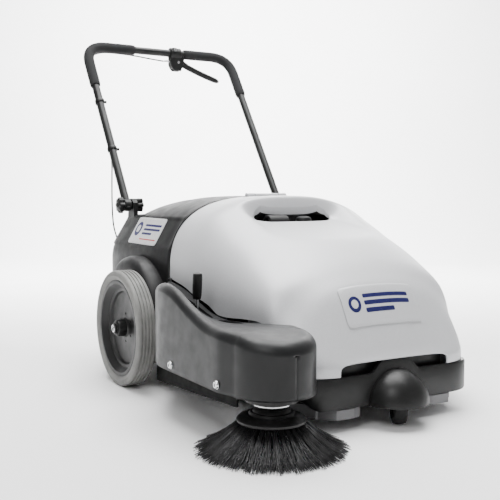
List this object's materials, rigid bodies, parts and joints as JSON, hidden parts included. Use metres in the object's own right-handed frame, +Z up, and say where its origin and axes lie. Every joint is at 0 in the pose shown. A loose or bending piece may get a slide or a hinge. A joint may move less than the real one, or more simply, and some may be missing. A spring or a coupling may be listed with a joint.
{
  "type": "walk behind sweeper",
  "caption": "Walk-behind floor sweeper with a lifting hood, hopper, roller broom, swinging side broom, rear wheels, front caster and folding handle.",
  "frame": {"origin": "on the floor, under the middle of the whole machine's box", "axes": "+Z up, -Y the way the machine drives, -X its right-hand side, where the side broom is"},
  "size_m": [0.8982, 1.4276, 0.986],
  "materials": {
    "frame_steel": "satin black",
    "housing_plastic": "fine-grained near-black moulding",
    "cover_plastic": "fine-grained dark grey moulding",
    "hood_plastic": "silver grey moulding with a fine sparkle",
    "hopper_plastic": "fine-grained mid-grey moulding",
    "black_plastic": "satin black",
    "chrome": "bright",
    "grey_tyre": "non-marking grey rubber",
    "black_rubber": "matt",
    "foam": "soft matt foam",
    "bristles": "black fibre",
    "filter_paper": "pleated paper",
    "lens": "clear lens over a gauge"
  },
  "bodies": {
    "chassis": {"main_frame": "frame_steel", "rear_housing": "housing_plastic", "rear_skirt": "black_plastic", "control_panel": "black_plastic", "battery_gauge": "lens", "battery": "black_plastic", "transaxle": "frame_steel", "rear_axle": "chrome", "hub_nut_left": "chrome", "hub_nut_right": "chrome", "broom_tunnel": "frame_steel", "broom_drive": "frame_steel", "dust_filter": "filter_paper", "filter_handle": "housing_plastic", "filter_knob": "black_plastic", "hopper": "hopper_plastic", "notch_panel": "black_plastic", "front_bumper": "black_plastic", "caster_dome": "black_plastic", "side_broom_cover": "cover_plastic", "cover_bolt_rear": "chrome", "cover_bolt_front": "chrome", "left_side_cover": "cover_plastic", "side_skirt_left": "black_rubber", "side_skirt_right": "black_rubber", "side_broom_bracket": "frame_steel", "hinge_bracket": "frame_steel", "handle_bracket_left": "black_plastic", "handle_bracket_right": "black_plastic"},
    "key_body": {"key": "chrome"},
    "button_body": {"shaker_button": "black_rubber"},
    "wheel_left": {"tyre_left": "grey_tyre", "rim_left": "black_plastic"},
    "wheel_right": {"tyre_right": "grey_tyre", "rim_right": "black_plastic"},
    "main_broom": {"main_broom_core": "black_plastic", "main_broom_bristles": "bristles"},
    "caster_swivel_body": {"caster_fork": "frame_steel", "caster_axle": "chrome"},
    "caster_roller": {"caster_wheel": "black_rubber"},
    "hood_body": {"hood": "hood_plastic", "hood_hinge": "frame_steel"},
    "broom_arm": {"side_broom_arm": "frame_steel", "side_broom_motor": "frame_steel"},
    "side_broom": {"side_broom_disc": "black_plastic", "side_broom_bristles": "bristles"},
    "lift_lever": {"lift_lever_rod": "chrome", "lift_lever_grip": "black_plastic"},
    "handle": {"handle_tube": "frame_steel", "grip_left": "foam", "grip_right": "foam", "pivot_hub_left": "black_plastic", "pivot_hub_right": "black_plastic", "lever_housing": "black_plastic", "cable_upper": "black_rubber", "cable_lower": "black_rubber"},
    "knob_left": {"pivot_knob_left": "black_plastic"},
    "knob_right": {"pivot_knob_right": "black_plastic"},
    "drive_lever_body": {"drive_lever": "black_plastic"}
  },
  "joints": [
    {"name": "handle_fold", "type": "hinge", "parent": "chassis", "child": "handle", "pos_m": [0.04265, 0.35375, 0.463], "axis": [1, 0, 0], "range_deg": [-12, 55], "deforming": ["cable_lower"]},
    {"name": "drive_lever_pull", "type": "hinge", "parent": "handle", "child": "drive_lever_body", "pos_m": [0.10665, 0.69475, 0.938], "axis": [0, -1, 0], "range_deg": [0, 12], "stiffness_Nm_per_rad": 1.5, "springref_deg": -8.59},
    {"name": "knob_left_turn", "type": "hinge", "parent": "handle", "child": "knob_left", "pos_m": [0.26865, 0.35375, 0.463], "axis": [1, 0, 0], "continuous": true},
    {"name": "knob_right_turn", "type": "hinge", "parent": "handle", "child": "knob_right", "pos_m": [-0.18335, 0.35375, 0.463], "axis": [-1, 0, 0], "continuous": true},
    {"name": "hood_open", "type": "hinge", "parent": "chassis", "child": "hood_body", "pos_m": [0.04265, 0.00975, 0.494], "axis": [-1, 0, 0], "range_deg": [0, 60]},
    {"name": "lift_lever_pull", "type": "hinge", "parent": "chassis", "child": "lift_lever", "pos_m": [-0.29735, -0.23225, 0.13], "axis": [-1, 0, 0], "range_deg": [0, 18]},
    {"name": "broom_arm_lift", "type": "hinge", "parent": "chassis", "child": "broom_arm", "pos_m": [-0.29735, -0.29625, 0.104], "axis": [-1, 0, 0], "range_deg": [0, 6.5]},
    {"name": "side_broom_spin", "type": "hinge", "parent": "broom_arm", "child": "side_broom", "pos_m": [-0.29005, -0.55475, 0.09], "axis": [0, 0, 1], "continuous": true},
    {"name": "main_broom_spin", "type": "hinge", "parent": "chassis", "child": "main_broom", "pos_m": [0.04265, -0.12625, 0.134], "axis": [1, 0, 0], "continuous": true},
    {"name": "wheel_left_spin", "type": "hinge", "parent": "chassis", "child": "wheel_left", "pos_m": [0.41465, 0.10375, 0.15], "axis": [1, 0, 0], "continuous": true},
    {"name": "wheel_right_spin", "type": "hinge", "parent": "chassis", "child": "wheel_right", "pos_m": [-0.32935, 0.10375, 0.15], "axis": [1, 0, 0], "continuous": true},
    {"name": "caster_swivel", "type": "hinge", "parent": "chassis", "child": "caster_swivel_body", "pos_m": [0.04265, -0.54825, 0.09], "axis": [0, 0, 1], "continuous": true},
    {"name": "caster_roll", "type": "hinge", "parent": "caster_swivel_body", "child": "caster_roller", "pos_m": [0.04876, -0.53792, 0.04], "axis": [0.8607, -0.509, 0], "continuous": true},
    {"name": "key_turn", "type": "hinge", "parent": "chassis", "child": "key_body", "pos_m": [-0.00935, 0.46406, 0.32546], "axis": [0, 0.9232, 0.3843], "range_deg": [0, 90]},
    {"name": "shaker_press", "type": "slide", "parent": "chassis", "child": "button_body", "axis": [0, -0.9232, -0.3843], "range_m": [0, 0.003], "stiffness_N_per_m": 800, "springref_m": -0.001}
  ],
  "couplings": [
    {"joint": "broom_arm_lift", "follows": "lift_lever_pull", "ratio": 0.36101}
  ]
}
